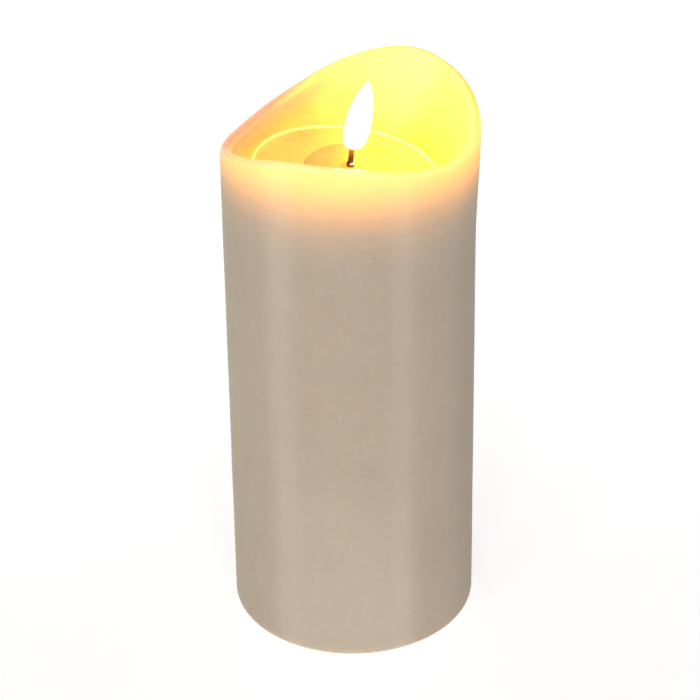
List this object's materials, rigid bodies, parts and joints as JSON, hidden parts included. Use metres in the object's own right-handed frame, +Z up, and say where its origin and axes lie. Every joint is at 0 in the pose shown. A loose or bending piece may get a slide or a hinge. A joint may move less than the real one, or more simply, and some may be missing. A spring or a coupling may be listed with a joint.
{
  "type": "flameless led candle",
  "caption": "Wax pillar with a wavy melted rim around a glowing melt pool and fixed flame, on a battery base with a hinged door and slide switch.",
  "frame": {"origin": "centre of the pillar's foot, on the surface it stands on", "axes": "+Z up along the pillar, +X towards the side that the lamp leans to, -Y towards the side seen in front"},
  "size_m": [0.0773, 0.0772, 0.1804],
  "materials": {
    "wax": "satin",
    "pool_plastic": "gloss",
    "flame_diffuser": "satin",
    "wick_black": "matte",
    "ferrule_gloss": "gloss",
    "led_resin": "gloss",
    "tinned_metal": "satin",
    "white_moulding": "satin",
    "base_moulding": "satin",
    "board_green": "satin",
    "screw_steel": "satin",
    "wire_red": "satin",
    "wire_black": "satin",
    "cell_jacket": "gloss",
    "contact_nickel": "satin",
    "chip_black": "matte",
    "capacitor_sleeve": "gloss",
    "knob_black": "satin"
  },
  "bodies": {
    "candle": {"wax_shell": "wax", "pool_disc": "pool_plastic", "flame_lens": "flame_diffuser", "wick_tube": "wick_black", "wick_collar": "ferrule_gloss", "flame_led": "led_resin", "led_pins": "tinned_metal", "lamp_holder": "white_moulding", "lamp_board": "board_green", "lamp_screws": "screw_steel", "lamp_wire_red": "wire_red", "lamp_wire_black": "wire_black", "base_cap": "white_moulding", "base_plate": "base_moulding", "case_screws": "screw_steel", "battery_1": "cell_jacket", "battery_2": "cell_jacket", "bridge_contact": "contact_nickel", "positive_contact": "contact_nickel", "negative_contact": "contact_nickel", "contact_springs": "contact_nickel", "battery_wire_red": "wire_red", "battery_wire_black": "wire_black", "circuit_board": "board_green", "controller_chip": "chip_black", "capacitor": "capacitor_sleeve", "resistors": "chip_black", "timer_crystal": "tinned_metal", "board_screws": "screw_steel", "switch_frame": "tinned_metal"},
    "door": {"battery_door": "base_moulding"},
    "knob": {"switch_knob": "knob_black"}
  },
  "joints": [
    {"name": "door_hinge", "type": "hinge", "parent": "candle", "child": "door", "pos_m": [0, -0.0179, 0.0022], "axis": [-1, 0, 0], "range_deg": [0, 95]},
    {"name": "switch_slide", "type": "slide", "parent": "candle", "child": "knob", "axis": [-1, 0, 0], "range_m": [0, 0.004]}
  ]
}
